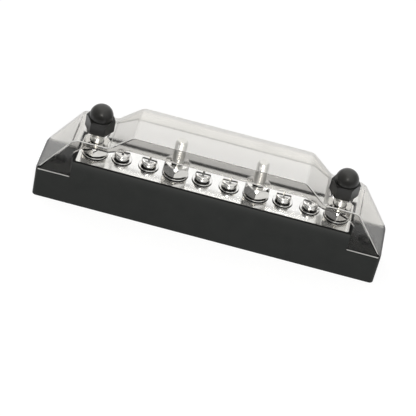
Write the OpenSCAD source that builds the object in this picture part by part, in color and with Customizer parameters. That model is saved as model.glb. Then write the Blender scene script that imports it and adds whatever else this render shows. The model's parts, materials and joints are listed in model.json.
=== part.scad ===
// Power distribution block: a moulded base with one plated busbar, four threaded studs with
// hex nuts, six terminal screws, and a clear cover held by two domed cap nuts.
// Frame: millimetres, Z up, X along the block, front towards -Y, origin at the centre of the
// base's footprint, on the surface that it stands on.

/* [Terminal row] */
// Distance between neighbouring terminals
pitch = 14; // [13.6:0.1:18]
// How far the terminal row lies in front of the block's middle line
row_offset = 0.95; // [0:0.05:1.5]
// Height of the top of the busbar
bar_top = 28; // [26:0.5:36]
// Busbar thickness
bar_t = 3; // [2:0.1:4]
// Busbar depth, front to back
bar_w = 21.4; // [19:0.1:21.6]
// Busbar length past the middle of each end stud
bar_end = 7.7; // [7.5:0.1:9]
// Corner radius of the busbar
bar_corner_r = 0.8; // [0.3:0.1:2]

/* [Base] */
// Depth of the block, front to back
block_w = 25.3; // [25:0.1:32]
// Length of the ledge at each end, past the platform
ledge_l = 18; // [16:0.5:26]
// Height of the end ledges
ledge_h = 17.2; // [14:0.2:19]
// Radius of the block's upright corners
corner_r = 2.2; // [1:0.1:3]
// Wall of the platform past each end of the busbar
rim_end = 1.3; // [1:0.1:3]
// Thickness of the deck under the busbar
deck_t = 3.5; // [3:0.1:5]
// Wall of the base round its open underside
skirt_t = 3.8; // [2.5:0.1:4.5]
// Wall and floor of the boss round each terminal screw's blind hole
boss_t = 2.2; // [1.5:0.1:2.9]
// Edge break along the platform's long top edges
edge_break = 0.3; // [0.2:0.05:0.4]

/* [Mounting holes] */
// Distance from the mounting hole to the end of the block
mount_inset = 9; // [8:0.1:10]
// Mounting hole diameter
mount_d = 4.5; // [3.5:0.1:5.5]
// Counterbore diameter for the mounting screw's head
mount_head_d = 9; // [8:0.1:10]
// Depth of the counterbore
mount_head_depth = 5; // [2:0.1:8]

/* [Studs] */
// Stud thread diameter
stud_d = 6.35; // [5:0.01:6.5]
// Height of the inner studs above the busbar
stud_rise = 20.8; // [14:0.1:21]
// Length of each end stud inside its cap nut
stud_engage = 8; // [5:0.1:9.5]
// Chamfer at the stud's end
stud_chamfer = 0.9; // [0.3:0.1:1.2]
// Width across flats of the stud's hex head
stud_head_af = 11.1; // [9:0.1:11.3]
// Thickness of the stud's hex head
stud_head_t = 4.2; // [3:0.1:5]
// Stud nut width across flats
nut_af = 12.6; // [10:0.1:12.8]
// Stud nut thickness
nut_t = 5.4; // [4:0.1:6]
// Split washer outer diameter
stud_lock_od = 12; // [9.6:0.1:12.6]
// Split washer thickness
stud_lock_t = 1.1; // [0.8:0.05:1.6]
// Flat washer outer diameter
stud_flat_od = 13.6; // [12:0.1:14]
// Flat washer thickness
stud_flat_t = 0.9; // [0.6:0.05:1.3]

/* [Terminal screws] */
// Terminal screw thread diameter
screw_d = 4.17; // [3:0.01:4.5]
// Length of the screw's shank under its head
screw_l = 11; // [8:0.5:12]
// Screw head diameter
screw_head_d = 8.1; // [7:0.1:9]
// Screw head height
screw_head_h = 2.3; // [1.6:0.1:2.8]
// Width of the slot in the screw's head
slot_w = 1.2; // [0.8:0.1:1.6]
// Depth of the slot in the screw's head
slot_depth = 1.1; // [0.6:0.1:1.2]
// Width across the cross recess in the screw's head
recess_w = 4.6; // [3:0.1:5]
// Radius that rounds the rim of the screw's head
crown_r = 1; // [0.4:0.05:1.2]
// Spring washer outer diameter
screw_lock_od = 7.7; // [6.6:0.1:8.4]
// Spring washer thickness
screw_lock_t = 1.1; // [0.7:0.05:1.4]
// Flat washer outer diameter
screw_flat_od = 10.6; // [8.6:0.1:11]
// Flat washer thickness
screw_flat_t = 0.8; // [0.5:0.05:1.1]
// Depth of the blind hole in the base below the screw's end
screw_hole_spare = 1.5; // [0.5:0.1:3]

/* [Cover] */
// Height of the pads that the cap nuts clamp, above the busbar
pad_rise = 13.8; // [12:0.1:16]
// Height of the cover's flat top above the pads
cover_rise = 10.6; // [9.6:0.1:16]
// Cover wall thickness
cover_t = 1.5; // [1.5:0.1:2.4]
// Length of each pad outwards from the middle of its stud
pad_out = 10.1; // [8:0.1:12]
// Length of each pad inwards from the middle of its stud
pad_in = 7.3; // [7:0.1:8.5]
// Run of the slope from the pad up to the flat top
top_run = 11.65; // [9:0.05:14]
// Depth of the lip along the front of the flat top
front_lip = 9.1; // [6:0.1:9.4]
// Depth of the lip along the back of the flat top
back_lip = 7.6; // [6:0.1:9.4]
// Depth of the wall below the pads, at the wire opening
pad_lip = 2.8; // [2.4:0.1:3.2]
// Corner cut of the wire opening
opening_cut = 5.8; // [3:0.1:7]
// How far the wire opening begins to rise past the pad's inner edge
opening_inset = 0.6; // [0:0.1:2]
// How far the straight lip runs past each end of the flat top
lip_run = 1.4; // [0:0.1:4]
// Gap between the cover and the sides of the platform
cover_gap = 0.3; // [0.2:0.05:0.6]
// Clearance of the cover's holes round the end studs
cover_hole_gap = 0.6; // [0.3:0.1:1]
// Diameter of the raised seat under each cap nut
seat_d = 12.4; // [10:0.1:12.8]
// Height of the raised seat under each cap nut
seat_h = 1.8; // [0.5:0.1:2.5]
// Height of the locating rib inside each end panel
rib_h = 8.4; // [4:0.1:9]
// Thickness of the locating rib
rib_t = 0.9; // [0.6:0.1:1.4]
// How far the locating rib stands in from its panel
rib_depth = 1.1; // [0.6:0.1:1.4]

/* [Cap nuts] */
// Cap nut width across flats
cap_af = 13; // [12:0.1:14]
// Height of the cap nut's hexagon
cap_hex_h = 7.4; // [5:0.1:8]
// Diameter of the cap nut's dome
cap_dome_d = 12; // [10:0.1:12.4]
// Height over which the hexagon's upper corners are turned off
cap_corner_h = 0.8; // [0.3:0.1:1.5]
// Straight height of the dome above the hexagon
cap_neck_h = 0.7; // [0.5:0.1:3]
// Spare depth of the cap nut's hole past the end of the stud
cap_hole_spare = 1.6; // [0.5:0.1:2.5]

/* [Fits] */
// Radial clearance of nuts, washers and cap nuts on their threads
thread_gap = 0.06; // [0.02:0.01:0.09]
// Radial clearance of a washer on its stud or screw
washer_gap = 0.25; // [0.1:0.05:0.4]
// Radial clearance of studs and screws in the base
base_gap = 0.3; // [0.1:0.05:0.6]
// Clearance round the busbar in its pocket
pocket_gap = 0.1; // [0.05:0.05:0.2]
// Clearance between a stud's head and the ribs that hold it
head_gap = 0.15; // [0.05:0.05:0.3]

/* [Hidden] */
$fn = 64;
// How far a cut runs past the face that it opens
over = 1;
// Overlap of solids that are joined
eps = 0.01;

// Terminals lie at station 0 to 9; every third one is a stud
stations = 10;
stud_stations = [0, 3, 6, 9];
screw_stations = [1, 2, 4, 5, 7, 8];
// How far each screw's slot is turned from the length of the block, as it was left
slot_angles = [10, -4, 0, 5, 3, -7];
// Where the slit of each spring washer came to rest
stud_slit_angles = [35, 185, 335, 125];
screw_slit_angles = [150, 220, 0, 70, 210, 280];
row_y = -row_offset;
end_x = station_x(0);

// Overall sizes
bar_l = (stations - 1) * pitch + 2 * bar_end;
platform_l = bar_l + 2 * rim_end;
block_l = platform_l + 2 * ledge_l;
mount_x = block_l / 2 - mount_inset;

// Heights
pad_top = bar_top + pad_rise;
cover_top = pad_top + cover_rise;
bar_bottom = bar_top - bar_t;
deck_bottom = bar_bottom - deck_t;
stud_lock_z = bar_top + stud_flat_t;
nut_z = stud_lock_z + stud_lock_t;
screw_lock_z = bar_top + screw_flat_t;
screw_head_z = screw_lock_z + screw_lock_t;
screw_hole_z = screw_head_z - screw_l - screw_hole_spare;
cap_z = pad_top + seat_h;
inner_stud_top = bar_top + stud_rise;
end_stud_top = cap_z + stud_engage;

// Fits
stud_hole_r = stud_d / 2 + base_gap;
thread_hole_r = stud_d / 2 + thread_gap;
screw_thread_r = screw_d / 2 + thread_gap;
screw_hole_r = screw_d / 2 + base_gap;
rib_w = pitch - stud_head_af - 2 * head_gap;

// Small edges
washer_slit = 1.2;
slit_slant = 25;
chamfer = 0.35;
washer_edge = 0.15;
screw_chamfer = 0.4;

// X of a station, counted from the left
function station_x(i) = (i - (stations - 1) / 2) * pitch;
function is_end(i) = i == 0 || i == stations - 1;
// Corner radius of a hexagon with the given width across flats
function hex_r(af) = af / sqrt(3);
// The left half of an outline, given from its right half
function mirrored(right) = concat(right, [for (k = [len(right) - 1:-1:0]) [-right[k][0], right[k][1]]]);

// Moves a piece to its place in the terminal row
module at_station(i) {
    translate([station_x(i), row_y, 0]) children();
}

// Round hole to cut, between two heights
module drill(r, z_low, z_high) {
    translate([0, 0, z_low]) cylinder(r = r, h = z_high - z_low);
}

// Flat rectangle with round corners
module round_rect(l, w, r) {
    square([l - 2 * r, w], center = true);
    square([l, w - 2 * r], center = true);
    for (x = [-1, 1], y = [-1, 1])
        translate([x * (l / 2 - r), y * (w / 2 - r)]) circle(r);
}

// Hexagonal prism whose upper and, if wanted, lower corners are turned off
module turned_hex(af, h, turn, both_ends) {
    r = hex_r(af);
    low = both_ends ? [[0, 0], [af / 2, 0], [r, turn]] : [[0, 0], [r, 0]];
    intersection() {
        cylinder(r = r, h = h, $fn = 6);
        rotate_extrude() polygon(concat(low, [[r, h - turn], [af / 2, h], [0, h]]));
    }
}

// Ring with broken edges, standing on Z = 0
module ring(r_in, r_out, h, edge) {
    rotate_extrude() polygon([
        [r_in, 0], [r_out - edge, 0], [r_out, edge],
        [r_out, h - edge], [r_out - edge, h], [r_in, h]
    ]);
}

// Spring washer squeezed flat, with its slanted slit towards an angle
module split_ring(r_in, r_out, h, slit_angle) {
    difference() {
        ring(r_in, r_out, h, washer_edge);
        rotate(slit_angle) translate([(r_in + r_out) / 2, 0, h / 2])
            rotate([slit_slant, 0, 0]) cube([2 * (r_out - r_in), washer_slit, 4 * h], center = true);
    }
}

// Moulded base
module base() {
    color([0.16, 0.16, 0.17]) difference() {
        union() {
            linear_extrude(ledge_h) round_rect(block_l, block_w, corner_r);
            platform();
        }
        translate([0, row_y, bar_bottom]) linear_extrude(bar_t + eps)
            round_rect(bar_l + 2 * pocket_gap, bar_w + 2 * pocket_gap, bar_corner_r + pocket_gap);
        underside_cells();
        for (i = stud_stations) at_station(i) drill(stud_hole_r, deck_bottom - over, bar_top);
        for (i = screw_stations) at_station(i) drill(screw_hole_r, screw_hole_z, bar_top);
        for (x = [-1, 1]) mounting_hole(x);
    }
}

// Raised block that carries the busbar, with its long top edges broken
module platform() {
    half = block_w / 2;
    translate([-platform_l / 2, 0, 0]) rotate([90, 0, 90]) linear_extrude(platform_l)
        polygon([
            [-half, 0], [half, 0],
            [half, bar_top - edge_break], [half - edge_break, bar_top],
            [-half + edge_break, bar_top], [-half, bar_top - edge_break]
        ]);
}

// Open cells of the underside, one for each terminal, with a boss round each blind hole
module underside_cells() {
    cell_w = block_w - 2 * skirt_t;
    for (i = [0:stations - 1]) difference() {
        translate([station_x(i) - (pitch - rib_w) / 2, -cell_w / 2, -over])
            cube([pitch - rib_w, cell_w, deck_bottom + over]);
        if (len(search(i, screw_stations)) > 0)
            at_station(i) drill(screw_hole_r + boss_t, screw_hole_z - boss_t, deck_bottom + over);
    }
}

// Counterbored hole for a mounting screw
module mounting_hole(side) {
    translate([side * mount_x, 0, 0]) {
        drill(mount_d / 2, -over, ledge_h + over);
        drill(mount_head_d / 2, ledge_h - mount_head_depth, ledge_h + over);
    }
}

// Busbar, with clearance holes for the studs and screw holes between them
module busbar() {
    color([0.86, 0.85, 0.82]) difference() {
        translate([0, row_y, bar_bottom]) linear_extrude(bar_t) round_rect(bar_l, bar_w, bar_corner_r);
        for (i = stud_stations) at_station(i) drill(thread_hole_r, bar_bottom - over, bar_top + over);
        for (i = screw_stations) at_station(i) drill(screw_thread_r, bar_bottom - over, bar_top + over);
    }
}

// Hex-headed stud, fitted from below
module stud(i) {
    top = is_end(i) ? end_stud_top : inner_stud_top;
    r = stud_d / 2;
    color([0.8, 0.79, 0.77]) at_station(i) {
        rotate_extrude() polygon([
            [0, deck_bottom - over], [r, deck_bottom - over], [r, top - stud_chamfer],
            [r - stud_chamfer, top], [0, top]
        ]);
        translate([0, 0, deck_bottom - stud_head_t]) rotate(30)
            turned_hex(stud_head_af, stud_head_t, chamfer, true);
    }
}

// Flat washer on a stud
module stud_flat_washer(i) {
    color([0.83, 0.82, 0.8]) at_station(i) translate([0, 0, bar_top])
        ring(stud_d / 2 + washer_gap, stud_flat_od / 2, stud_flat_t, washer_edge);
}

// Spring washer on a stud
module stud_lock_washer(i, slit_angle) {
    color([0.78, 0.77, 0.75]) at_station(i) translate([0, 0, stud_lock_z])
        split_ring(stud_d / 2 + washer_gap, stud_lock_od / 2, stud_lock_t, slit_angle);
}

// Hex nut on a stud, with a corner towards the front
module stud_nut(i) {
    color([0.82, 0.81, 0.79]) at_station(i) translate([0, 0, nut_z]) difference() {
        rotate(30) turned_hex(nut_af, nut_t, chamfer, true);
        drill(thread_hole_r, -over, nut_t + over);
        for (end = [0, 1]) translate([0, 0, end * nut_t]) mirror([0, 0, end])
            translate([0, 0, -chamfer])
                cylinder(r1 = thread_hole_r + 2 * chamfer, r2 = thread_hole_r, h = 2 * chamfer);
    }
}

// Flat washer of a terminal screw
module screw_flat_washer(i) {
    color([0.83, 0.82, 0.8]) at_station(i) translate([0, 0, bar_top])
        ring(screw_d / 2 + washer_gap, screw_flat_od / 2, screw_flat_t, washer_edge);
}

// Spring washer of a terminal screw
module screw_lock_washer(i, slit_angle) {
    color([0.78, 0.77, 0.75]) at_station(i) translate([0, 0, screw_lock_z])
        split_ring(screw_d / 2 + washer_gap, screw_lock_od / 2, screw_lock_t, slit_angle);
}

// Pan-head screw with a slot and a cross recess
module terminal_screw(i, slot_angle) {
    r = screw_d / 2;
    head_r = screw_head_d / 2;
    slot_z = screw_head_h - slot_depth;
    color([0.84, 0.83, 0.81]) at_station(i) translate([0, 0, screw_head_z]) rotate(slot_angle)
        difference() {
            rotate_extrude() {
                polygon([[0, -screw_l], [r - screw_chamfer, -screw_l], [r, -screw_l + screw_chamfer],
                         [r, eps], [0, eps]]);
                polygon([[0, 0], [head_r, 0], [head_r, screw_head_h - crown_r],
                         [head_r - crown_r, screw_head_h], [0, screw_head_h]]);
                translate([head_r - crown_r, screw_head_h - crown_r]) circle(crown_r);
            }
            translate([-head_r - over, -slot_w / 2, slot_z])
                cube([2 * (head_r + over), slot_w, slot_depth + over]);
            translate([-slot_w / 2, -recess_w / 2, slot_z]) cube([slot_w, recess_w, slot_depth + over]);
        }
}

// Right half of the cover's end view along Y, set in from the outside by t
function cover_half(t) =
    let (
        x0 = block_l / 2, x1 = pad_out - end_x, x2 = -end_x - pad_in, x3 = x2 - top_run,
        end_angle = atan2(pad_top - ledge_h, x0 - x1),
        top_angle = atan2(cover_top - pad_top, top_run),
        low = ledge_h - (t > 0 ? eps : 0)
    ) [
        [x0 - t / sin(end_angle) + (ledge_h - low) / tan(end_angle), low],
        [x1 - t * tan(end_angle / 2), pad_top - t],
        [x2 - t * tan(top_angle / 2), pad_top - t],
        [x3 - t * tan(top_angle / 2), cover_top - t]
    ];

// Right half of the wire opening's outline, for a lip of the given depth
function opening_half(lip) =
    let (
        side = platform_l / 2 + cover_gap, top = pad_top - pad_lip,
        inner = -end_x - pad_in, lip_x = inner - top_run + lip_run
    ) [
        [side, ledge_h - over], [side, top - opening_cut], [side - opening_cut, top],
        [inner - opening_inset, top], [lip_x, cover_top - lip]
    ];

// Upright slice of the given outline between two depths
module slice(points, y_low, y_high) {
    translate([0, y_high, 0]) rotate([90, 0, 0]) linear_extrude(y_high - y_low) polygon(points);
}

// Clear cover
module cover() {
    half = block_w / 2;
    color([0.9, 0.92, 0.93, 0.35]) difference() {
        union() {
            intersection() {
                slice(mirrored(cover_half(0)), -half, half);
                linear_extrude(cover_top + over) round_rect(block_l, block_w, corner_r);
            }
            for (i = [0, stations - 1]) at_station(i)
                translate([0, 0, pad_top - eps]) cylinder(d = seat_d, h = seat_h + eps);
        }
        difference() {
            slice(mirrored(cover_half(cover_t)), -half + cover_t, half - cover_t);
            for (x = [-1, 1], y = [-1, 1])
                translate([x * mount_x, y * (half - cover_t), ledge_h])
                    translate([-rib_t / 2, y > 0 ? -rib_depth : -eps, 0])
                        cube([rib_t, rib_depth + eps, rib_h]);
        }
        slice(mirrored(opening_half(front_lip)), -half - over, -half + cover_t + eps);
        slice(mirrored(opening_half(back_lip)), half - cover_t - eps, half + over);
        for (i = [0, stations - 1]) at_station(i)
            drill(stud_d / 2 + cover_hole_gap, pad_top - cover_t - over, cap_z + over);
    }
}

// Domed cap nut
module cap_nut(i) {
    r = cap_dome_d / 2;
    dome_z = cap_hex_h + cap_neck_h;
    color([0.13, 0.13, 0.14]) at_station(i) translate([0, 0, cap_z]) difference() {
        union() {
            turned_hex(cap_af, cap_hex_h, cap_corner_h, false);
            rotate_extrude() {
                square([r, dome_z]);
                translate([0, dome_z]) intersection() {
                    circle(r);
                    square(r);
                }
            }
        }
        drill(thread_hole_r, -over, stud_engage + cap_hole_spare);
    }
}

base();
busbar();
for (k = [1:4]) {
    stud(stud_stations[k - 1]);
    stud_flat_washer(stud_stations[k - 1]);
    stud_lock_washer(stud_stations[k - 1], stud_slit_angles[k - 1]);
    stud_nut(stud_stations[k - 1]);
}
for (k = [1:6]) {
    screw_flat_washer(screw_stations[k - 1]);
    screw_lock_washer(screw_stations[k - 1], screw_slit_angles[k - 1]);
    terminal_screw(screw_stations[k - 1], slot_angles[k - 1]);
}
cover();
cap_nut(0);  // cap_nut_1
cap_nut(stations - 1);  // cap_nut_2
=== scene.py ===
"""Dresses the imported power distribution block: its moulded base, plated busbar and terminals,
clear cover and domed cap nuts, on a plain white stage. Sizes are in metres, in the frame's axes."""

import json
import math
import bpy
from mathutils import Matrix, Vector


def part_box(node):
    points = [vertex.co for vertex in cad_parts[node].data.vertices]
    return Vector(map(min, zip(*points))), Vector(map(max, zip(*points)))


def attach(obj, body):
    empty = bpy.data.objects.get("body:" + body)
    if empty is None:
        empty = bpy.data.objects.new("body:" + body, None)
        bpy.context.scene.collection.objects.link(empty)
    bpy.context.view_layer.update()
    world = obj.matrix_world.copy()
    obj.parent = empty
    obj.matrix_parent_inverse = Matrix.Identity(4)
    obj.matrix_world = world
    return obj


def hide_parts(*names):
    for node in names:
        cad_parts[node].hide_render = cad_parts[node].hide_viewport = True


bl_info = {
    "name": "Power Distribution Block",
    "version": (1, 0, 0),
    "blender": (4, 5, 0),
    "location": "3D View > Sidebar > Power Block",
    "description": "Dresses the packed power distribution block and sets its stage",
    "category": "Object",
}

import bmesh
import bpy
from mathutils import Matrix, Vector

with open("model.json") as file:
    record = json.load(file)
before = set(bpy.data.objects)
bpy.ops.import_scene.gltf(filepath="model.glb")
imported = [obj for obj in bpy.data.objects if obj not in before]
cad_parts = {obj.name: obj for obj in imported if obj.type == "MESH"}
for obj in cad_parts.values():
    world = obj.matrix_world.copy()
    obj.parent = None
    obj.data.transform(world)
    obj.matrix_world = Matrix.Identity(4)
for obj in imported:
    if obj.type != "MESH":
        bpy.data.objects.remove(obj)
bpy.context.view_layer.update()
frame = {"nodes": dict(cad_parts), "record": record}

NODES = frame["nodes"]
BODY_OF = {
    node: body
    for body, members in frame["record"]["behaviour"]["bodies"].items()
    for node in members
}

STUDS = range(1, 5)
SCREWS = range(1, 7)
CAPS = range(1, 3)

# Heights, radii and gaps of the part's source, and its slits' angles in degrees
BAR_TOP = 0.028
COVER_WALL = 0.0015
DECK_BOTTOM = 0.0215
STUD_RADIUS = 0.003175
SCREW_RADIUS = 0.002085
WASHER_GAP = 0.00025
NUT_GAP = 0.00006
STUD_SLITS = (35, 185, 335, 125)
SCREW_SLITS = (150, 220, 0, 70, 210, 280)

# Distance within which two vertices are one, and angles that part flat, round and sharp
MERGE = 1e-6
FLAT = math.radians(0.5)
SHARP = math.radians(28)

# Parts of a unit normal along an axis that tell one kind of face from another
FACING = 0.9
UPRIGHT = 0.3
RAISED = 0.2
CROWNED = 0.35
UNDERNEATH = -0.5
WALL_AND_LOWER_BEVEL = (-0.99, 0.1)
END_SLOPE = (0.3, 0.95)

# The base: depths below the bar's top that part its wider rounded edges and its shaded top from
# the rest, and how far its cells reach to front and back
EDGE_DROP = 0.001
PLATFORM_DROP = 0.0004
CELL_REACH = 0.0095

# A turn of a thread: share of the pitch, and 0 at the root or 1 at the crest
THREAD_PROFILE = ((0, 0), (0.16, 0), (0.44, 1), (0.7, 1), (1, 0))

# How far a threaded rod runs on into its head, and a nut's end face as a share of its flats
STUD_ROOT = 0.001
SCREW_ROOT = 0.0005
FACE_SHARE = 0.96

# A screw's head: its rim's share of the width, its recess's least depth and its reach, and the
# painted shade of its floor and walls
RIM_SHARE = 0.47
RECESS_DEPTH = 0.0003
RECESS_REACH = 0.0034
RECESS_FLOOR_SHADE = 0.8
RECESS_WALL_SHADE = 0.45

# The cover: the least length and the angles of its folds, a height between its end panels' rims
# and its lips, the least depth of a lip, and how much of the gloss and of the front wall's darker
# colour, which is painted shade, its faces take
FOLD_LENGTH = 0.01
FOLD_ANGLES = (math.radians(10), math.radians(80))
LIP_FLOOR = 0.04
LIP_DROP = 0.004
ROOF_GLOSS = 1.0
WALL_GLOSS = 0.1
SLOPE_FRONT_SHADE = 0.25

# How far down from its top a moulding takes a painted highlight, lightest at the top
HIGHLIGHT_DEPTH = 0.008

# The point that the lamps aim at, and the colours of their light
LAMP_AIM = (0, 0, 0.03)
WARM = (1.0, 0.985, 0.96)
EYE_TONE = (1.0, 0.97, 0.9)

# Patches of the room that surfaces mirror: direction, inner and outer angle in degrees, level
ROOM_PATCHES = (
    ((0, 0, 1), 25, 45, 1.1),
    ((0, 0.75, 0.66), 30, 50, 1.1),
    ((0.05, -0.76, 0.65), 14, 30, 1.25),
    ((-0.65, -0.38, 0.66), 24, 36, 0.2),
    ((0.65, -0.38, 0.66), 16, 30, 0.9),
    ((0, -1, 0.05), 20, 36, 0.08),
)

# Bands along Y in which the floor that surfaces mirror changes its level, front to back
FRONT_BAND = (-0.3, -0.1)
BRIGHT_BAND = (-0.059, -0.055)
NEAR_BAND = (-0.05, -0.046)
UNDER_BAND = (-0.02, 0.02)

# The camera: side of the picture in pixels, sensor width in mm, and the pixel and the height on
# the Z axis that it is aimed by
FRAME_SIDE = 416
SENSOR_WIDTH = 36
AIM_PIXEL = (212.927, 194.216)
AIM_HEIGHT = 0.01989


def centre_of(node):
    """The upright axis that a node stands on, at Z = 0."""
    low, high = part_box(node)
    return Vector(((low.x + high.x) / 2, (low.y + high.y) / 2, 0))


def node_shape(node):
    """A node's triangles as one closed shape with whole flat faces."""
    shape = bmesh.new()
    shape.from_mesh(NODES[node].data)
    bmesh.ops.remove_doubles(shape, verts=shape.verts, dist=MERGE)
    bmesh.ops.dissolve_limit(shape, angle_limit=FLAT, verts=shape.verts, edges=shape.edges)
    bmesh.ops.recalc_face_normals(shape, faces=shape.faces)
    return shape


def round_edges(shape, width, segments=2, wanted=None, clamp=True):
    """Rounds the sharp edges that wanted() picks, and marks the new faces for worn edges, or for
    painted shade on the hardware.
    """
    layer = shape.faces.layers.float.get("wear_and_shade") or shape.faces.layers.float.new("wear_and_shade")
    edges = [
        e for e in shape.edges
        if len(e.link_faces) == 2 and e.calc_face_angle() > SHARP and (not wanted or wanted(e))
    ]
    made = bmesh.ops.bevel(
        shape, geom=edges, offset=width, offset_type="OFFSET", segments=segments, profile=0.5,
        affect="EDGES", clamp_overlap=clamp, material=-1,
    )
    for face in made["faces"]:
        face[layer] = 1.0


def cut_off(shape, height, keep_above):
    """Cuts a shape level at a height, keeps one side and closes the cut."""
    made = bmesh.ops.bisect_plane(
        shape, geom=shape.verts[:] + shape.edges[:] + shape.faces[:], dist=MERGE / 10,
        plane_co=(0, 0, height), plane_no=(0, 0, 1),
        clear_inner=keep_above, clear_outer=not keep_above,
    )
    rim = [e for e in made["geom_cut"] if isinstance(e, bmesh.types.BMEdge) and e.is_boundary]
    bmesh.ops.holes_fill(shape, edges=rim, sides=0)


def join_shape(shape, other):
    """Adds another shape's faces to a shape and frees the other."""
    carrier = bpy.data.meshes.new("carrier")
    other.to_mesh(carrier)
    other.free()
    shape.from_mesh(carrier)
    bpy.data.meshes.remove(carrier)


def threaded_rod(radius, depth, pitch, low, high, low_taper, high_taper, steps=28):
    """A closed rod round the Z axis with a helical thread and tapered ends."""
    rod = bmesh.new()
    profile = [
        rod.verts.new((radius - depth * (1 - crest), 0, low + pitch * (rise - 1)))
        for rise, crest in THREAD_PROFILE
    ]
    links = [rod.edges.new(pair) for pair in zip(profile, profile[1:])]
    turns = math.ceil((high - low) / pitch) + 2
    bmesh.ops.spin(
        rod, geom=profile + links, cent=(0, 0, 0), axis=(0, 0, 1), dvec=(0, 0, pitch / steps),
        angle=2 * math.pi * turns, steps=steps * turns, use_merge=False, use_duplicate=False,
    )
    bmesh.ops.remove_doubles(rod, verts=rod.verts, dist=MERGE)
    cut_off(rod, low, keep_above=True)
    cut_off(rod, high, keep_above=False)
    for vert in rod.verts:
        run = math.hypot(vert.co.x, vert.co.y)
        most = radius - max(0, low + low_taper - vert.co.z, vert.co.z - high + high_taper)
        if run > most:
            vert.co.xy *= most / run
    bmesh.ops.recalc_face_normals(rod, faces=rod.faces)
    return rod


def washer_shape(inner, outer, low, high, edge, slit=None, slit_width=0.0012, slant=25, steps=60):
    """A washer round the Z axis, whole or with a slanted slit towards an angle in degrees."""
    washer = bmesh.new()
    corners = [washer.verts.new((r, 0, z)) for r, z in
               ((inner, low), (outer, low), (outer, high), (inner, high))]
    washer.faces.new(corners)
    bmesh.ops.bevel(
        washer, geom=corners, offset=edge, offset_type="OFFSET", segments=3, profile=0.5,
        affect="VERTICES", clamp_overlap=True, material=-1,
    )
    if slit is None:
        bmesh.ops.delete(washer, geom=washer.faces[:], context="FACES_ONLY")
        bmesh.ops.spin(
            washer, geom=washer.verts[:] + washer.edges[:], cent=(0, 0, 0), axis=(0, 0, 1),
            angle=2 * math.pi, steps=steps, use_merge=True,
        )
    else:
        middle = (inner + outer) / 2
        gap = slit_width / middle
        start = math.radians(slit) + gap / 2
        bmesh.ops.rotate(washer, verts=washer.verts, matrix=Matrix.Rotation(start, 3, "Z"))
        bmesh.ops.spin(
            washer, geom=washer.verts[:] + washer.edges[:] + washer.faces[:], cent=(0, 0, 0),
            axis=(0, 0, 1), angle=2 * math.pi - gap, steps=steps, use_merge=False,
        )
        lean = math.tan(math.radians(slant)) / middle
        for vert in washer.verts:
            vert.co.rotate(Matrix.Rotation(lean * (vert.co.z - (low + high) / 2), 3, "Z"))
    bmesh.ops.remove_doubles(washer, verts=washer.verts, dist=MERGE)
    bmesh.ops.recalc_face_normals(washer, faces=washer.faces)
    washer.normal_update()
    # Painted shade: the walls and lower rounded edges are marked for the washer plating's dark
    # colour
    layer = washer.faces.layers.float.new("wear_and_shade")
    least, most = WALL_AND_LOWER_BEVEL
    for face in washer.faces:
        face[layer] = float(least < face.normal.z < most)
    return washer


def nut_shape(low, high, bore, top_turn, low_turn, edge, steps=72):
    """A hex nut in a box, corners to the front and back, turned off round its ends."""
    flat = (high.x - low.x) / 2
    corner = flat / math.cos(math.radians(30))
    face = FACE_SHARE * flat
    nut = bmesh.new()

    def ring(radius, level, turn=0):
        """A circle, or the hexagon's outline where no radius is given, turned down by its reach."""
        made = bmesh.ops.create_circle(nut, segments=steps, radius=flat)["verts"]
        for vert in made:
            angle = math.atan2(vert.co.y, vert.co.x)
            side = math.remainder(angle, math.radians(60))
            reach = radius or flat / math.cos(side)
            drop = turn * (reach - face) / (corner - face)
            vert.co = Vector((reach * math.cos(angle), reach * math.sin(angle), level + drop))
        return list({link for vert in made for link in vert.link_edges})

    rings = [
        ring(bore, low.z + edge), ring(bore + edge, low.z), ring(face, low.z),
        ring(None, low.z, low_turn), ring(None, high.z, -top_turn), ring(face, high.z),
        ring(bore + edge, high.z), ring(bore, high.z - edge),
    ]
    for first, second in zip(rings, rings[1:] + rings[:1]):
        bmesh.ops.bridge_loops(nut, edges=first + second)
    bmesh.ops.recalc_face_normals(nut, faces=nut.faces)
    bmesh.ops.translate(nut, verts=nut.verts, vec=((low.x + high.x) / 2, (low.y + high.y) / 2, 0))
    return nut


def place_piece(shape, name, node, material):
    """Makes a shape the piece that stands for a node, with soft edges and flat faces kept flat."""
    for face in shape.faces:
        face.smooth = True
    for edge in shape.edges:
        edge.smooth = len(edge.link_faces) == 2 and edge.calc_face_angle() < SHARP
    mesh = bpy.data.meshes.new(name)
    shape.to_mesh(mesh)
    shape.free()
    mesh.materials.append(material)
    piece = bpy.data.objects.new(name, mesh)
    bpy.context.scene.collection.objects.link(piece)
    soften = piece.modifiers.new("even_shading", "WEIGHTED_NORMAL")
    soften.keep_sharp = True
    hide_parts(node)
    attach(piece, BODY_OF[node])
    return piece


def add(tree, kind, inputs=None, **options):
    """Adds a shader node, sets its options, and sets or links its inputs."""
    node = tree.nodes.new(kind)
    for key, value in options.items():
        setattr(node, key, value)
    for key, value in (inputs or {}).items():
        if isinstance(value, bpy.types.NodeSocket):
            tree.links.new(value, node.inputs[key])
        else:
            node.inputs[key].default_value = value
    return node


def maths(tree, operation, *values, clamp=False):
    """The result of a Math node."""
    return add(tree, "ShaderNodeMath", dict(enumerate(values)), operation=operation,
               use_clamp=clamp).outputs[0]


def blend_colour(tree, factor, first, second):
    """A mix of two colours."""
    node = add(tree, "ShaderNodeMix", {"Factor": factor}, data_type="RGBA")
    for socket, value in ((node.inputs[6], first), (node.inputs[7], second)):
        if isinstance(value, bpy.types.NodeSocket):
            tree.links.new(value, socket)
        else:
            socket.default_value = (*value, 1)
    return node.outputs[2]


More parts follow.
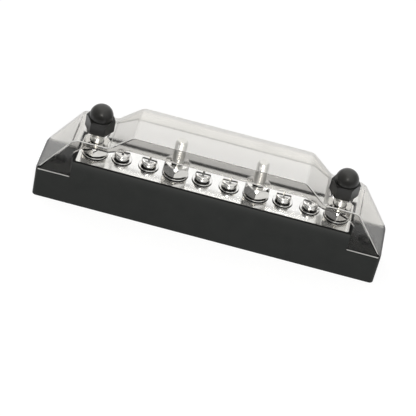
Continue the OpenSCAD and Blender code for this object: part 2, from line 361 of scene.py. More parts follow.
def start_group(name, inputs, outputs):
    """A new shader node group with named sockets, its input node and its output node."""
    group = bpy.data.node_groups.new(name, "ShaderNodeTree")
    for label, kind, value in inputs:
        socket = group.interface.new_socket(label, in_out="INPUT", socket_type=kind)
        if value is not None:
            socket.default_value = value
    for label, kind in outputs:
        group.interface.new_socket(label, in_out="OUTPUT", socket_type=kind)
    return group, group.nodes.new("NodeGroupInput"), group.nodes.new("NodeGroupOutput")


FLOAT, VECTOR = "NodeSocketFloat", "NodeSocketVector"


def grain_group():
    """Fine grain on broad, slow mottling, for moulded plastic and plating."""
    group, given, result = start_group(
        "Surface Grain",
        (("Position", VECTOR, None), ("Grain Size", FLOAT, 0.0003), ("Patch Size", FLOAT, 0.01),
         ("Smoothest", FLOAT, 0.4), ("Roughest", FLOAT, 0.6)),
        (("Height", FLOAT), ("Patches", FLOAT), ("Roughness", FLOAT)),
    )
    source = given.outputs
    fine = add(group, "ShaderNodeTexNoise", {
        "Vector": source["Position"], "Scale": maths(group, "DIVIDE", 1.0, source["Grain Size"]),
        "Detail": 3.0, "Roughness": 0.6})
    broad = add(group, "ShaderNodeTexNoise", {
        "Vector": source["Position"], "Scale": maths(group, "DIVIDE", 1.0, source["Patch Size"]),
        "Detail": 4.0, "Roughness": 0.55, "Distortion": 0.4})
    patches = add(group, "ShaderNodeMapRange", {
        "Value": broad.outputs[0], "From Min": 0.32, "From Max": 0.68}).outputs[0]
    mixed = maths(group, "ADD", maths(group, "MULTIPLY", patches, 0.7),
                  maths(group, "MULTIPLY", fine.outputs[0], 0.3))
    rough = add(group, "ShaderNodeMapRange", {
        "Value": mixed, "To Min": source["Smoothest"], "To Max": source["Roughest"]}).outputs[0]
    for label, socket in (("Height", fine.outputs[0]), ("Patches", patches), ("Roughness", rough)):
        group.links.new(socket, result.inputs[label])
    return group


def wear_and_shade_group():
    """Where rubbing has reached the rounded edges of a piece; on the hardware this mask places
    painted shade.
    """
    group, given, result = start_group(
        "Edge Wear and Shade",
        (("Position", VECTOR, None), ("Patch Size", FLOAT, 0.004), ("Amount", FLOAT, 0.5)),
        (("Mask", FLOAT),),
    )
    source = given.outputs
    edge = add(group, "ShaderNodeAttribute", attribute_name="wear_and_shade").outputs["Fac"]
    patchy = add(group, "ShaderNodeTexNoise", {
        "Vector": source["Position"], "Scale": maths(group, "DIVIDE", 1.0, source["Patch Size"]),
        "Detail": 5.0, "Roughness": 0.7}).outputs[0]
    reach = maths(group, "SUBTRACT", 1.0, source["Amount"])
    worn = maths(group, "MULTIPLY", maths(group, "SUBTRACT", patchy, reach), 4.0, clamp=True)
    group.links.new(maths(group, "MULTIPLY", edge, worn), result.inputs["Mask"])
    return group


def scratch_group():
    """Hairline marks that run mostly along X, as rolling, wiping and handling leave them."""
    group, given, result = start_group(
        "Hairlines",
        (("Position", VECTOR, None), ("Length", FLOAT, 0.02), ("Spacing", FLOAT, 0.0002),
         ("Threshold", FLOAT, 0.62)),
        (("Mask", FLOAT), ("Height", FLOAT)),
    )
    source = given.outputs
    along = maths(group, "DIVIDE", 1.0, source["Length"])
    across = maths(group, "DIVIDE", 1.0, source["Spacing"])
    marks = []
    for angle in (4, -19, 63):
        turned = add(group, "ShaderNodeMapping", {
            "Vector": source["Position"], "Rotation": (0, 0, math.radians(angle))})
        stretch = add(group, "ShaderNodeCombineXYZ", {"X": along, "Y": across, "Z": across})
        spread = add(group, "ShaderNodeVectorMath", {
            0: turned.outputs[0], 1: stretch.outputs[0]}, operation="MULTIPLY")
        marks.append(add(group, "ShaderNodeTexNoise", {
            "Vector": spread.outputs[0], "Scale": 1.0, "Detail": 2.0, "Roughness": 0.5}).outputs[0])
    strongest = maths(group, "MAXIMUM", marks[0], maths(group, "MAXIMUM", marks[1], marks[2]))
    mask = maths(group, "MULTIPLY", maths(group, "SUBTRACT", strongest, source["Threshold"]), 8.0,
                 clamp=True)
    group.links.new(mask, result.inputs["Mask"])
    group.links.new(marks[0], result.inputs["Height"])
    return group


def shared(name, make):
    """A node group, made the first time that it is asked for."""
    return bpy.data.node_groups.get(name) or make()


def use_group(tree, group, **values):
    """Places a node group in a material, with the piece's own coordinates and these values."""
    where = add(tree, "ShaderNodeTexCoord").outputs["Object"]
    node = add(tree, "ShaderNodeGroup", node_tree=group)
    tree.links.new(where, node.inputs["Position"])
    for label, value in values.items():
        node.inputs[label.replace("_", " ")].default_value = value
    return node.outputs


def new_material(name):
    """An empty material, its node tree and its shader."""
    material = bpy.data.materials.new(name)
    material.use_nodes = True
    tree = material.node_tree
    tree.nodes.clear()
    shader = add(tree, "ShaderNodeBsdfPrincipled")
    add(tree, "ShaderNodeOutputMaterial", {"Surface": shader.outputs[0]})
    return material, tree, shader


def plastic(name, colour, worn_and_painted_tone, grain, smoothest, roughest, relief, specular, highlight_top):
    """Black moulded plastic with a fine grain, polished edges, a painted highlight that grows
    towards its top, and painted shade where faces are marked for it.
    """
    material, tree, shader = new_material(name)
    skin = use_group(tree, shared("Surface Grain", grain_group), Grain_Size=grain,
                     Patch_Size=0.012, Smoothest=smoothest, Roughest=roughest)
    wear_and_shade = use_group(tree, shared("Edge Wear and Shade", wear_and_shade_group), Patch_Size=0.003, Amount=0.55)
    marks = use_group(tree, shared("Hairlines", scratch_group), Length=0.012, Spacing=0.00025,
                      Threshold=0.66)
    darker = tuple(0.8 * c for c in colour)
    body = blend_colour(tree, skin["Patches"], darker, colour)
    rubbed = blend_colour(tree, maths(tree, "MULTIPLY", marks["Mask"], 0.25), body, worn_and_painted_tone)
    height = add(tree, "ShaderNodeSeparateXYZ", {
        "Vector": add(tree, "ShaderNodeTexCoord").outputs["Object"]}).outputs["Z"]
    # Painted highlight: the colour grows lighter towards the top of the moulding
    near_top = add(tree, "ShaderNodeMapRange", {
        "Value": height, "From Min": highlight_top - HIGHLIGHT_DEPTH, "From Max": highlight_top}).outputs[0]
    rubbed = blend_colour(tree, maths(tree, "POWER", near_top, 3.0), rubbed, worn_and_painted_tone)
    rubbed = blend_colour(tree, wear_and_shade["Mask"], rubbed, worn_and_painted_tone)
    # Painted shade: faces marked shade take a far darker colour
    shade = add(tree, "ShaderNodeAttribute", attribute_name="shade").outputs["Fac"]
    deep = tuple(0.15 * c for c in colour)
    tree.links.new(blend_colour(tree, shade, rubbed, deep), shader.inputs["Base Color"])
    polish = maths(tree, "MULTIPLY", wear_and_shade["Mask"], 0.14)
    tree.links.new(maths(tree, "SUBTRACT", skin["Roughness"], polish), shader.inputs["Roughness"])
    bump = add(tree, "ShaderNodeBump", {
        "Strength": 0.35, "Distance": relief, "Height": skin["Height"]})
    tree.links.new(bump.outputs[0], shader.inputs["Normal"])
    shader.inputs["Specular IOR Level"].default_value = specular
    return material


def plating(name, colour, worn_and_painted_tone, reach, smoothest, roughest, streak, spacing, relief):
    """Bright plating over metal, with hairlines, soft mottling and marked edges of another tone,
    which on the nuts, screws and washers is painted shade.
    """
    material, tree, shader = new_material(name)
    skin = use_group(tree, shared("Surface Grain", grain_group), Grain_Size=0.00035,
                     Patch_Size=0.006, Smoothest=smoothest, Roughest=roughest)
    wear_and_shade = use_group(tree, shared("Edge Wear and Shade", wear_and_shade_group), Patch_Size=0.0015, Amount=reach)
    marks = use_group(tree, shared("Hairlines", scratch_group), Length=streak, Spacing=spacing,
                      Threshold=0.6)
    duller = tuple(0.93 * c for c in colour)
    body = blend_colour(tree, skin["Patches"], duller, colour)
    tree.links.new(blend_colour(tree, wear_and_shade["Mask"], body, worn_and_painted_tone), shader.inputs["Base Color"])
    scuffed = maths(tree, "MULTIPLY", marks["Mask"], 0.1)
    tree.links.new(maths(tree, "ADD", skin["Roughness"], scuffed), shader.inputs["Roughness"])
    height = maths(tree, "ADD", marks["Height"], maths(tree, "MULTIPLY", skin["Height"], 0.5))
    bump = add(tree, "ShaderNodeBump", {"Strength": 0.2, "Distance": relief, "Height": height})
    tree.links.new(bump.outputs[0], shader.inputs["Normal"])
    shader.inputs["Metallic"].default_value = 1.0
    return material


def clear_plastic(name, colour, front_shade, back_colour, smoothest, roughest):
    """Clear moulded plastic, faintly tinted, with hairlines, soft edges, a slow ripple, and painted
    shade as a darker tint on the front wall and end slopes.
    """
    material, tree, shader = new_material(name)
    skin = use_group(tree, shared("Surface Grain", grain_group), Grain_Size=0.004,
                     Patch_Size=0.02, Smoothest=smoothest, Roughest=roughest)
    marks = use_group(tree, shared("Hairlines", scratch_group), Length=0.015, Spacing=0.0003,
                      Threshold=0.68)
    hazy = tuple(0.96 * c for c in colour)
    front, back = (add(tree, "ShaderNodeAttribute", attribute_name=key).outputs["Fac"]
                   for key in ("front", "back"))
    tint = blend_colour(tree, skin["Patches"], hazy, colour)
    # Painted shade: the front wall and, in part, the end slopes take a darker tint
    tint = blend_colour(tree, back, blend_colour(tree, front, tint, front_shade), back_colour)
    tree.links.new(tint, shader.inputs["Base Color"])
    scuffed = maths(tree, "ADD", skin["Roughness"], maths(tree, "MULTIPLY", marks["Mask"], 0.05))
    tree.links.new(scuffed, shader.inputs["Roughness"])
    bump = add(tree, "ShaderNodeBump", {
        "Strength": 0.05, "Distance": 0.0001, "Height": skin["Height"]})
    tree.links.new(bump.outputs[0], shader.inputs["Normal"])
    gloss = add(tree, "ShaderNodeAttribute", attribute_name="gloss").outputs["Fac"]
    tree.links.new(gloss, shader.inputs["Coat Weight"])
    shader.inputs["Coat Roughness"].default_value = 0.05
    shader.inputs["Coat IOR"].default_value = 1.6
    shader.inputs["Transmission Weight"].default_value = 1.0
    shader.inputs["IOR"].default_value = 1.2
    return material


def painted_edge_highlight(name, colour):
    """Painted highlight on the cover's rounded edges: an opaque light grey that stands in for the
    light that the clear plastic's edges catch.
    """
    material, tree, shader = new_material(name)
    skin = use_group(tree, shared("Surface Grain", grain_group), Grain_Size=0.0003,
                     Patch_Size=0.004, Smoothest=0.35, Roughest=0.5)
    darker = tuple(0.85 * c for c in colour)
    tree.links.new(blend_colour(tree, skin["Patches"], darker, colour), shader.inputs["Base Color"])
    tree.links.new(skin["Roughness"], shader.inputs["Roughness"])
    bump = add(tree, "ShaderNodeBump", {
        "Strength": 0.2, "Distance": 0.00003, "Height": skin["Height"]})
    tree.links.new(bump.outputs[0], shader.inputs["Normal"])
    return material


def a_length(name, description, default):
    """A size in metres."""
    return bpy.props.FloatProperty(name=name, description=description, default=default, min=0,
                                   precision=5, unit="LENGTH", subtype="DISTANCE")


def a_colour(name, description, default):
    """A surface colour."""
    return bpy.props.FloatVectorProperty(name=name, description=description, default=default,
                                         min=0, max=1, size=3, subtype="COLOR")


def an_amount(name, description, default, most=1.0):
    """A plain share or strength."""
    return bpy.props.FloatProperty(name=name, description=description, default=default, min=0,
                                   max=most)


class PlasticFinish(bpy.types.PropertyGroup):
    """Finish of the black mouldings."""
    base: a_colour("Base", "Colour of the moulded base", (0.03, 0.032, 0.031))
    # The base's lighter colour serves its rubbed edges and its painted highlight towards the top
    base_worn_and_highlight: a_colour("Base edges", "Colour of the base's rubbed edges and painted highlight", (0.062, 0.064, 0.062))
    cap: a_colour("Cap nuts", "Colour of the cap nuts", (0.009, 0.0088, 0.008))
    # The caps' lighter colour serves their rubbed edges and their painted highlight towards the top
    cap_worn_and_highlight: a_colour("Cap edges", "Colour of the cap nuts' rubbed edges and painted highlight", (0.05, 0.049, 0.046))
    grain: a_length("Grain", "Width of the moulding grain", 0.0003)
    base_edge: a_length("Base edge", "Radius of the base's outer edges", 0.0004)
    fine_edge: a_length("Fine edge", "Radius of the small edges of the mouldings", 0.00012)
    cap_edge: a_length("Cap edge", "Radius of the cap nuts' edges", 0.0003)


class MetalFinish(bpy.types.PropertyGroup):
    """Finish and small shapes of the busbar and the terminals."""
    bar: a_colour("Busbar", "Colour of the busbar's plating", (0.93, 0.925, 0.905))
    hardware: a_colour("Terminals", "Colour of the nuts, studs and screws", (0.86, 0.85, 0.83))
    stud: a_colour("Studs", "Colour of the studs' plating", (0.93, 0.925, 0.905))
    washer: a_colour("Washers", "Colour of the washers", (0.84, 0.83, 0.81))
    bright_edge: a_colour("Bright edges", "Colour of the busbar's rubbed edges", (0.95, 0.94, 0.92))
    # The dark edges are painted shade on the hardware's rounded edges, washer walls and screw
    # recesses
    painted_shade_edge: a_colour("Dark edges", "Colour of the painted shade on the hardware's edges",
                        (0.025, 0.025, 0.024))
    bar_edge: a_length("Busbar edge", "Radius of the busbar's edges", 0.0002)
    nut_edge: a_length("Nut edge", "Radius of the nuts' edges", 0.00014)
    nut_top: a_length("Nut top", "Height that turning takes off a nut's upper corners", 0.0014)
    nut_foot: a_length("Nut foot", "Height that turning takes off a nut's lower corners", 0.0005)
    nut_bore: a_length("Nut bore", "Countersink at the ends of a nut's bore", 0.0004)
    head_crown: a_length("Head crown", "Radius round the top of a screw's head", 0.0008)
    head_edge: a_length("Head edge", "Radius of the screw slots' edges", 0.00007)
    washer_edge: a_length("Washer edge", "Radius of the washers' edges", 0.00033)
    stud_pitch: a_length("Stud pitch", "Thread pitch of the studs", 0.00127)
    stud_thread: a_length("Stud thread", "Depth of the studs' thread", 0.00032)
    screw_pitch: a_length("Screw pitch", "Thread pitch of the terminal screws", 0.00079375)
    screw_thread: a_length("Screw thread", "Depth of the screws' thread", 0.00025)
    stud_tip: a_length("Stud tip", "Taper at the end of a stud", 0.0009)
    screw_tip: a_length("Screw tip", "Taper at the end of a screw", 0.0004)


class CoverFinish(bpy.types.PropertyGroup):
    """Finish of the clear cover."""
    tint: a_colour("Tint", "Colour that the cover gives to what is behind it",
                   (0.915, 0.907, 0.885))
    # The front wall's darker colour is painted shade
    front: a_colour("Front wall", "Colour that the cover's front wall gives", (0.54, 0.53, 0.512))
    back: a_colour("Back wall", "Colour that the cover's back wall gives", (0.92, 0.915, 0.9))
    smoothest: an_amount("Smoothest", "Least roughness of the cover", 0.11)
    roughest: an_amount("Roughest", "Greatest roughness of the cover", 0.16)
    # The edges' light grey is a painted highlight
    edge_highlight_tone: a_colour("Edges", "Colour of the painted highlight on the cover's edges", (0.75, 0.745, 0.73))
    bend: a_length("Bend", "Inner radius of the roof's folds", 0.0025)
    edge: a_length("Edge", "Radius of the cover's outer edges", 0.00035)
    fine_edge: a_length("Fine edge", "Radius of the cover's small edges", 0.00015)


class StageSetup(bpy.types.PropertyGroup):
    """The floor, the lamps and the camera."""
    ambient: an_amount("Ambient", "Level of the light from all round", 0.55, 4)
    key_power: an_amount("Key lamp", "Power of the large lamp in front, in watts", 7, 100)
    fill_power: an_amount("Fill lamp", "Power of the lamp at the back left, in watts", 3, 100)
    eye_power: an_amount("Eye lamp", "Power of the small lamp by the camera, in watts", 2.2, 100)
    floor_glow: an_amount("Floor glow", "How bright the floor shows by itself", 0.85)
    floor: a_colour("Floor", "Colour of the floor", (0.2, 0.2, 0.2))
    behind: a_colour("Floor behind", "Colour of the floor as the clear cover shows it",
                     (0.8, 0.795, 0.785))
    behind_glow: an_amount("Glow behind", "Share of the floor's glow that the clear cover shows",
                           0.28)
    front_floor: an_amount("Front floor", "Level of the floor in front that surfaces mirror", 0.1)
    near_floor: an_amount("Near floor", "Level of the floor just before the block, in mirrors",
                          0.8, 4)
    bright_floor: an_amount("Bright floor", "Level of the floor's strip that the studs mirror",
                            3.5, 8)
    room: an_amount("Room", "Level of the room that the metal shows", 0.55)
    lens: bpy.props.FloatProperty(name="Lens", description="Focal length of the camera, in mm",
                                  default=151.625, min=1)
    distance: a_length("Distance", "From the camera to the point that it is aimed by", 0.89061)
    azimuth: bpy.props.FloatProperty(name="Azimuth", description="Angle of the camera to the right",
                                     default=math.radians(1.794), subtype="ANGLE", unit="ROTATION")
    elevation: bpy.props.FloatProperty(name="Elevation", description="Angle of the camera upwards",
                                       default=math.radians(40.424), subtype="ANGLE",
                                       unit="ROTATION")
    roll: bpy.props.FloatProperty(name="Roll", description="Tilt of the camera about its own line",
                                  default=math.radians(13.59), subtype="ANGLE", unit="ROTATION")


class BlockSettings(bpy.types.PropertyGroup):
    """Everything that a user would change."""
    plastic: bpy.props.PointerProperty(type=PlasticFinish)
    metal: bpy.props.PointerProperty(type=MetalFinish)
    cover: bpy.props.PointerProperty(type=CoverFinish)
    stage: bpy.props.PointerProperty(type=StageSetup)


def hardware_material(metal):
    """The plating of the nuts, studs and screws, with painted shade on their marked edges and
    recesses.
    """
    return bpy.data.materials.get("terminal_plating") or plating(
        "terminal_plating", tuple(metal.hardware), tuple(metal.painted_shade_edge), reach=0.85,
        smoothest=0.04, roughest=0.1, streak=0.006, spacing=0.00015, relief=0.000003)


def washer_material(metal):
    """The plating of the washers, with painted shade on their walls and lower rounded edges."""
    return bpy.data.materials.get("washer_plating") or plating(
        "washer_plating", tuple(metal.washer), tuple(metal.painted_shade_edge), reach=0.85,
        smoothest=0.04, roughest=0.1, streak=0.004, spacing=0.0001, relief=0.000003)


class BLOCK_OT_base(bpy.types.Operator):
    """Makes the moulded base with rounded edges"""
    bl_idname = "power_block.base"
    bl_label = "Moulded Base"

    def execute(self, context):
        finish = context.scene.power_block.plastic
        shape = node_shape("base")

        def outer(edge):
            high = max(v.co.z for v in edge.verts)
            low = min(v.co.z for v in edge.verts)
            inside = max(abs(v.co.y) for v in edge.verts) < CELL_REACH
            below = high < BAR_TOP - EDGE_DROP
            return edge.is_convex and below and not (inside and low < DECK_BOTTOM)

        round_edges(shape, finish.base_edge, 3, outer)
        round_edges(shape, finish.fine_edge, 2, lambda edge: edge.is_convex)
        # Painted shade: the platform's top faces are marked to take a far darker colour
        shade = shape.faces.layers.float.new("shade")
        for face in shape.faces:
            if face.calc_center_median().z > BAR_TOP - PLATFORM_DROP:
                face[shade] = 1.0
        # The base takes a painted highlight that grows towards the bar's top
        black = plastic("base_plastic", tuple(finish.base), tuple(finish.base_worn_and_highlight), finish.grain,
                        smoothest=0.42, roughest=0.58, relief=0.00005, specular=0.12,
                        highlight_top=BAR_TOP)
        place_piece(shape, "moulded_base", "base", black)
        return {"FINISHED"}


class BLOCK_OT_busbar(bpy.types.Operator):
    """Makes the plated busbar"""
    bl_idname = "power_block.busbar"
    bl_label = "Busbar"

    def execute(self, context):
        metal = context.scene.power_block.metal
        shape = node_shape("busbar")
        round_edges(shape, metal.bar_edge, 2, lambda edge: edge.is_convex)
        finish = plating("bar_plating", tuple(metal.bar), tuple(metal.bright_edge), reach=0.5,
                         smoothest=0.12, roughest=0.19, streak=0.03, spacing=0.00018,
                         relief=0.000002)
        place_piece(shape, "plated_busbar", "busbar", finish)
        return {"FINISHED"}


class BLOCK_OT_studs(bpy.types.Operator):
    """Makes the threaded studs with their hex heads"""
    bl_idname = "power_block.studs"
    bl_label = "Studs"

    def execute(self, context):
        metal = context.scene.power_block.metal
        finish = plating("stud_plating", tuple(metal.stud), tuple(metal.bright_edge), reach=0.5,
                         smoothest=0.26, roughest=0.34, streak=0.006, spacing=0.00015,
                         relief=0.000003)
        for k in STUDS:
            node = f"stud_{k}"
            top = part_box(node)[1].z
            shape = node_shape(node)
            cut_off(shape, DECK_BOTTOM - MERGE, keep_above=False)
            round_edges(shape, metal.nut_edge, 2, lambda edge: edge.is_convex)
            rod = threaded_rod(STUD_RADIUS, metal.stud_thread, metal.stud_pitch,
                               DECK_BOTTOM - STUD_ROOT, top, 0, metal.stud_tip)
            bmesh.ops.translate(rod, verts=rod.verts, vec=centre_of(node))
            join_shape(shape, rod)
            place_piece(shape, f"threaded_stud_{k}", node, finish)
        return {"FINISHED"}


class BLOCK_OT_nuts(bpy.types.Operator):
    """Makes the hex nuts of the studs"""
    bl_idname = "power_block.nuts"
    bl_label = "Stud Nuts"

    def execute(self, context):
        metal = context.scene.power_block.metal
        for k in STUDS:
            low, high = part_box(f"stud_nut_{k}")
            shape = nut_shape(low, high, STUD_RADIUS + NUT_GAP, metal.nut_top, metal.nut_foot,
                              metal.nut_bore)
            # Painted shade: the nuts' rounded edges are marked for the hardware plating's dark
            # colour
            round_edges(shape, metal.nut_edge, 2, lambda edge: edge.is_convex)
            place_piece(shape, f"hex_nut_{k}", f"stud_nut_{k}", hardware_material(metal))
        return {"FINISHED"}


class BLOCK_OT_washers(bpy.types.Operator):
    """Makes the flat washers and the split spring washers"""
    bl_idname = "power_block.washers"
    bl_label = "Washers"

    def execute(self, context):
        metal = context.scene.power_block.metal
        kinds = (
            ("stud_flat_washer", STUDS, STUD_RADIUS, None),
            ("stud_lock_washer", STUDS, STUD_RADIUS, STUD_SLITS),
            ("screw_flat_washer", SCREWS, SCREW_RADIUS, None),
            ("screw_lock_washer", SCREWS, SCREW_RADIUS, SCREW_SLITS),
        )
        for kind, numbers, rod_radius, slits in kinds:
            for k in numbers:
                node = f"{kind}_{k}"
                low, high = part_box(node)
                outer = max(high.x - low.x, high.y - low.y) / 2
                shape = washer_shape(rod_radius + WASHER_GAP, outer, low.z, high.z,
                                     metal.washer_edge, slits and slits[k - 1])
                stud = "stud" if kind.startswith("stud") else "terminal_screw"
                bmesh.ops.translate(shape, verts=shape.verts, vec=centre_of(f"{stud}_{k}"))
                place_piece(shape, node.replace("lock", "spring").replace("flat", "plain"), node,
                            washer_material(metal))
        return {"FINISHED"}


class BLOCK_OT_screws(bpy.types.Operator):
    """Makes the terminal screws with slotted heads and threaded shanks"""
    bl_idname = "power_block.screws"
    bl_label = "Terminal Screws"

    def execute(self, context):
        metal = context.scene.power_block.metal
        for k in SCREWS:
            node = f"terminal_screw_{k}"
            under_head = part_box(f"screw_lock_washer_{k}")[1].z
            shape = node_shape(node)
            cut_off(shape, under_head + MERGE, keep_above=True)
            self.round_head(shape, node, metal)
            self.darken_recess(shape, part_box(node)[1].z, centre_of(node))
            rod = threaded_rod(SCREW_RADIUS, metal.screw_thread, metal.screw_pitch,
                               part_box(node)[0].z, under_head + SCREW_ROOT, metal.screw_tip, 0)
            bmesh.ops.translate(rod, verts=rod.verts, vec=centre_of(node))
            join_shape(shape, rod)
            place_piece(shape, f"slotted_screw_{k}", node, hardware_material(metal))
        return {"FINISHED"}

    def round_head(self, head, node, metal):
        """Rounds a pan head's crown and foot, then its small edges; the steep parts of the rounding
        keep a mark for painted shade.
        """
        low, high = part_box(node)
        axis, reach = centre_of(node), RIM_SHARE * (high.x - low.x)
        foot = min(v.co.z for v in head.verts)
        for level, radius in ((high.z, metal.head_crown), (foot, metal.washer_edge)):
            def rim(edge):
                return edge.is_convex and all(
                    abs(v.co.z - level) < MERGE and (v.co - axis).xy.length > reach
                    for v in edge.verts)

            round_edges(head, radius, 5, rim, clamp=False)
        head.normal_update()
        # Painted shade: only the steep parts of the rounded crown and foot keep their mark
        layer = head.faces.layers.float["wear_and_shade"]
        for face in head.faces:
            if face[layer] and face.normal.z > CROWNED:
                face[layer] = 0.0
        round_edges(head, metal.head_edge, 2, lambda edge: edge.is_convex)

    def darken_recess(self, head, top, axis):
        """Marks the walls and the floor of a head's recess for painted shade, deeper on the floor.
        """
        layer = head.faces.layers.float["wear_and_shade"]
        head.normal_update()
        for face in head.faces:
            middle = face.calc_center_median()
            deep = middle.z < top - RECESS_DEPTH and face.normal.z > FACING
            inner = (middle - axis).xy.length < RECESS_REACH and abs(face.normal.z) < UPRIGHT
            if deep or inner:
                face[layer] = RECESS_FLOOR_SHADE if deep else RECESS_WALL_SHADE


class BLOCK_OT_cover(bpy.types.Operator):
    """Makes the clear cover"""
    bl_idname = "power_block.cover"
    bl_label = "Clear Cover"

    def execute(self, context):
        finish = context.scene.power_block.cover
        shape = node_shape("cover")
        half = max(abs(v.co.y) for v in shape.verts)
        top = max(v.co.z for v in shape.verts)

        def outer(edge):
            rim = all(abs(v.co.y) > half - MERGE for v in edge.verts)
            raised = any(face.normal.z > RAISED for face in edge.link_faces)
            foot = all(v.co.z < DECK_BOTTOM for v in edge.verts)
            behind = all(v.co.y > 0 for v in edge.verts)
            return edge.is_convex and rim and (raised and not behind or foot)

        self.bend_folds(shape, finish.bend)
        shape.normal_update()
        round_edges(shape, finish.edge, 3, outer, clamp=False)
        round_edges(shape, finish.fine_edge, 2, lambda edge: edge.is_convex)
        strip = min(v.co.z for v in shape.verts) + 2 * finish.edge
        bmesh.ops.bisect_plane(shape, geom=shape.verts[:] + shape.edges[:] + shape.faces[:],
                               dist=MERGE / 10, plane_co=(0, 0, strip), plane_no=(0, 0, 1))
        shape.normal_update()
        wear_and_shade = shape.faces.layers.float["wear_and_shade"]
        gloss, front, back = (
            shape.faces.layers.float.new(key) for key in ("gloss", "front", "back"))
        for face in shape.faces:
            middle = face.calc_center_median()
            sloping = END_SLOPE[0] < abs(face.normal.x) < END_SLOPE[1]
            face[gloss] = ROOF_GLOSS if face.normal.z > FACING else WALL_GLOSS
            # Painted shade: front faces take the front wall's darker colour, end slopes a share of
            # it
            face[front] = SLOPE_FRONT_SHADE if sloping else 0.0
            if abs(face.normal.y) > FACING:
                face[front if middle.y < 0 else back] = 1.0
            rounded = face[wear_and_shade] and middle.z < top - finish.edge
            # Painted highlight: rims, the foot strip and the faces under the back lip take the
            # opaque light grey
            if self.takes_painted_highlight(face, rounded, strip, top):
                face.material_index = 1
        clear = clear_plastic("cover_plastic", tuple(finish.tint), tuple(finish.front),
                              tuple(finish.back), finish.smoothest, finish.roughest)
        cover = place_piece(shape, "clear_cover", "cover", clear)
        cover.data.materials.append(painted_edge_highlight("cover_edge_highlights", tuple(finish.edge_highlight_tone)))
        return {"FINISHED"}

    def takes_painted_highlight(self, face, rounded, strip, top):
        """Tells whether a face takes the painted highlight: on a rim, in the strip along the foot
        or under the back lip.
        """
        middle = face.calc_center_median()
        foot = middle.z < strip and face.normal.y < -FACING
        seen = middle.y < 0 or middle.z < LIP_FLOOR
        beneath = middle.y > 0 and face.normal.z < UNDERNEATH
        return (rounded or foot) and seen or beneath and LIP_FLOOR < middle.z < top - LIP_DROP

    def bend_folds(self, shape, bend):
        """Rounds the folds of the roof, inside and outside, about one centre."""
        folds = [
            e for e in shape.edges if abs(e.verts[0].co.y - e.verts[1].co.y) > FOLD_LENGTH
            and FOLD_ANGLES[0] < e.calc_face_angle(0) < FOLD_ANGLES[1]
        ]
        for edge in folds:
            radius = bend + (COVER_WALL if edge.is_convex else 0)
            bmesh.ops.bevel(
                shape, geom=[edge], offset=radius * math.tan(edge.calc_face_angle() / 2),
                offset_type="OFFSET", segments=5, profile=0.5, affect="EDGES", clamp_overlap=True,
                material=-1,
            )


class BLOCK_OT_caps(bpy.types.Operator):
    """Makes the domed cap nuts"""
    bl_idname = "power_block.caps"
    bl_label = "Cap Nuts"

    def execute(self, context):
        finish = context.scene.power_block.plastic
        # The caps take a painted highlight that grows towards their tops
        black = plastic("cap_plastic", tuple(finish.cap), tuple(finish.cap_worn_and_highlight), finish.grain,
                        smoothest=0.27, roughest=0.34, relief=0.00003, specular=0.34,
                        highlight_top=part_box("cap_nut_1")[1].z)
        for k in CAPS:
            shape = node_shape(f"cap_nut_{k}")
            round_edges(shape, finish.cap_edge, 3, lambda edge: edge.is_convex)
            place_piece(shape, f"domed_cap_{k}", f"cap_nut_{k}", black)
        return {"FINISHED"}


def lamp(name, place, size, power, tint, mirrored=False):
    """A soft square lamp aimed at the block, which mirrors may show."""
    data = bpy.data.lights.new(name, "AREA")
    data.shape, data.size, data.energy, data.color = "SQUARE", size, power, tint
    holder = bpy.data.objects.new(name, data)
    holder.location = place
    holder.visible_glossy = mirrored
    towards_block = Vector(LAMP_AIM) - holder.location
    holder.rotation_euler = towards_block.to_track_quat("-Z", "Y").to_euler()
    bpy.context.scene.collection.objects.link(holder)


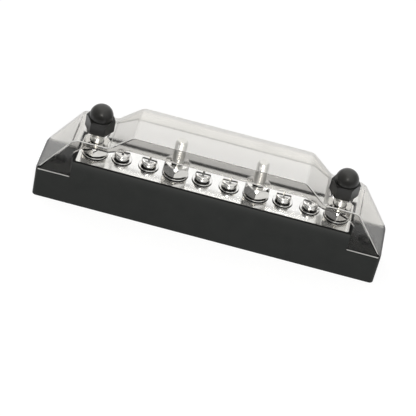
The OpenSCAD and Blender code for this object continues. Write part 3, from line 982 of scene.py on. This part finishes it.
class BLOCK_OT_stage(bpy.types.Operator):
    """Sets the white floor, the surroundings, the lamps and the camera"""
    bl_idname = "power_block.stage"
    bl_label = "Stage"

    def execute(self, context):
        stage = context.scene.power_block.stage
        self.make_floor(stage)
        self.make_surroundings(context.scene, stage)
        lamp("key_lamp", (0.12, -1.04, 0.84), 0.6, stage.key_power, WARM)
        lamp("fill_lamp", (-0.7, 0.6, 0.8), 0.8, stage.fill_power, WARM)
        lamp("eye_lamp", (0.1, -1.0, 0.95), 0.16, stage.eye_power, EYE_TONE, mirrored=True)
        self.make_camera(context.scene, stage)
        context.scene.view_settings.view_transform = "Standard"
        return {"FINISHED"}

    def make_floor(self, stage):
        shape = bmesh.new()
        bmesh.ops.create_grid(shape, x_segments=1, y_segments=1, size=6)
        mesh = bpy.data.meshes.new("floor")
        shape.to_mesh(mesh)
        shape.free()
        floor = bpy.data.objects.new("floor", mesh)
        bpy.context.scene.collection.objects.link(floor)
        material = bpy.data.materials.new("floor_paper")
        material.use_nodes = True
        tree = material.node_tree
        tree.nodes.clear()
        path = add(tree, "ShaderNodeLightPath").outputs
        where = add(tree, "ShaderNodeSeparateXYZ", {
            "Vector": add(tree, "ShaderNodeTexCoord").outputs["Object"]}).outputs
        mirrored = add(tree, "ShaderNodeMapRange", {
            "Value": where["Y"], "From Min": FRONT_BAND[0], "From Max": FRONT_BAND[1],
            "To Min": stage.front_floor, "To Max": stage.near_floor}).outputs[0]
        for (first, last), high in (
            (BRIGHT_BAND, stage.bright_floor), (NEAR_BAND, stage.near_floor), (UNDER_BAND, 1.0),
        ):
            mirrored = add(tree, "ShaderNodeMapRange", {
                "Value": where["Y"], "From Min": first, "From Max": last, "To Min": mirrored,
                "To Max": high}).outputs[0]
        through = path["Is Transmission Ray"]
        seen = maths(tree, "MAXIMUM", path["Is Camera Ray"], maths(
            tree, "MULTIPLY", path["Is Glossy Ray"], mirrored))
        seen = add(tree, "ShaderNodeMix", {"Factor": through, "A": seen, "B": stage.behind_glow},
                   data_type="FLOAT").outputs[0]
        glow = add(tree, "ShaderNodeEmission", {
            "Strength": maths(tree, "MULTIPLY", seen, stage.floor_glow)})
        paper = add(tree, "ShaderNodeBsdfDiffuse", {
            "Color": blend_colour(tree, through, stage.floor, stage.behind)})
        both = add(tree, "ShaderNodeAddShader", {0: glow.outputs[0], 1: paper.outputs[0]})
        add(tree, "ShaderNodeOutputMaterial", {"Surface": both.outputs[0]})
        mesh.materials.append(material)

    def make_surroundings(self, scene, stage):
        world = bpy.data.worlds.new("surroundings")
        scene.world = world
        world.use_nodes = True
        tree = world.node_tree
        tree.nodes.clear()
        path = add(tree, "ShaderNodeLightPath").outputs
        direction = add(tree, "ShaderNodeTexCoord").outputs["Generated"]

        def towards(place, inner, outer):
            facing = add(tree, "ShaderNodeVectorMath", {
                0: direction, 1: Vector(place).normalized()}, operation="DOT_PRODUCT")
            inside = {"Value": facing.outputs["Value"],
                      "From Min": math.cos(math.radians(outer)),
                      "From Max": math.cos(math.radians(inner))}
            return add(tree, "ShaderNodeMapRange", inside,
                       interpolation_type="SMOOTHSTEP").outputs[0]

        level = stage.room
        for place, inner, outer, target in ROOM_PATCHES:
            level = add(tree, "ShaderNodeMix", {
                "Factor": towards(place, inner, outer), "A": level, "B": target},
                data_type="FLOAT").outputs[0]
        through = path["Is Transmission Ray"]
        clear = maths(tree, "MAXIMUM", path["Is Camera Ray"], through)
        mirrored = maths(tree, "MULTIPLY", maths(tree, "MAXIMUM", path["Is Glossy Ray"], through),
                         path["Glossy Depth"], clamp=True)
        plain = add(tree, "ShaderNodeMix", {"Factor": clear, "A": stage.ambient, "B": 1.0},
                    data_type="FLOAT").outputs[0]
        strength = add(tree, "ShaderNodeMix", {"Factor": mirrored, "A": plain, "B": level},
                       data_type="FLOAT").outputs[0]
        sky = add(tree, "ShaderNodeBackground", {"Color": (1, 1, 1, 1), "Strength": strength})
        add(tree, "ShaderNodeOutputWorld", {"Surface": sky.outputs[0]})

    def make_camera(self, scene, stage):
        data = bpy.data.cameras.new("camera")
        data.sensor_fit, data.sensor_width = "HORIZONTAL", SENSOR_WIDTH
        data.lens = stage.lens
        data.clip_start, data.clip_end = 0.01, 50
        camera = bpy.data.objects.new("camera", data)
        aim = Vector((0, 0, AIM_HEIGHT))
        focus = stage.lens * FRAME_SIDE / SENSOR_WIDTH
        off_x, off_y = AIM_PIXEL[0] - FRAME_SIDE / 2, FRAME_SIDE / 2 - AIM_PIXEL[1]
        a, e, r = stage.azimuth, stage.elevation, stage.roll
        back = Vector((math.sin(a) * math.cos(e), -math.cos(a) * math.cos(e), math.sin(e)))
        level = back.cross(Vector((0, 0, -1))).normalized()
        upright = level.cross(-back)
        right = math.cos(r) * level + math.sin(r) * upright
        up = math.cos(r) * upright - math.sin(r) * level
        far = stage.distance
        place = aim + far * back - right * (off_x / focus * far) - up * (off_y / focus * far)
        camera.matrix_world = Matrix((right, up, back)).transposed().to_4x4()
        camera.location = place
        scene.collection.objects.link(camera)
        scene.camera = camera


class BLOCK_PT_panel(bpy.types.Panel):
    """Lists the steps that dress the block"""
    bl_idname = "BLOCK_PT_panel"
    bl_label = "Power Block"
    bl_space_type = "VIEW_3D"
    bl_region_type = "UI"
    bl_category = "Power Block"

    def draw(self, context):
        for step in STEPS:
            self.layout.operator(step.bl_idname)


STEPS = (
    BLOCK_OT_base, BLOCK_OT_busbar, BLOCK_OT_studs, BLOCK_OT_nuts, BLOCK_OT_washers,
    BLOCK_OT_screws, BLOCK_OT_cover, BLOCK_OT_caps, BLOCK_OT_stage,
)
CLASSES = (PlasticFinish, MetalFinish, CoverFinish, StageSetup, BlockSettings) + STEPS + (
    BLOCK_PT_panel,)


def register():
    """Registers the classes and the scene's settings."""
    for cls in CLASSES:
        bpy.utils.register_class(cls)
    bpy.types.Scene.power_block = bpy.props.PointerProperty(type=BlockSettings)


def unregister():
    """Takes the settings and the classes away again."""
    del bpy.types.Scene.power_block
    for cls in reversed(CLASSES):
        bpy.utils.unregister_class(cls)


def main():
    """Registers the add-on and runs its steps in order."""
    register()
    for step in STEPS:
        group, name = step.bl_idname.split(".")
        getattr(getattr(bpy.ops, group), name)()


if __name__ == "__main__":
    main()
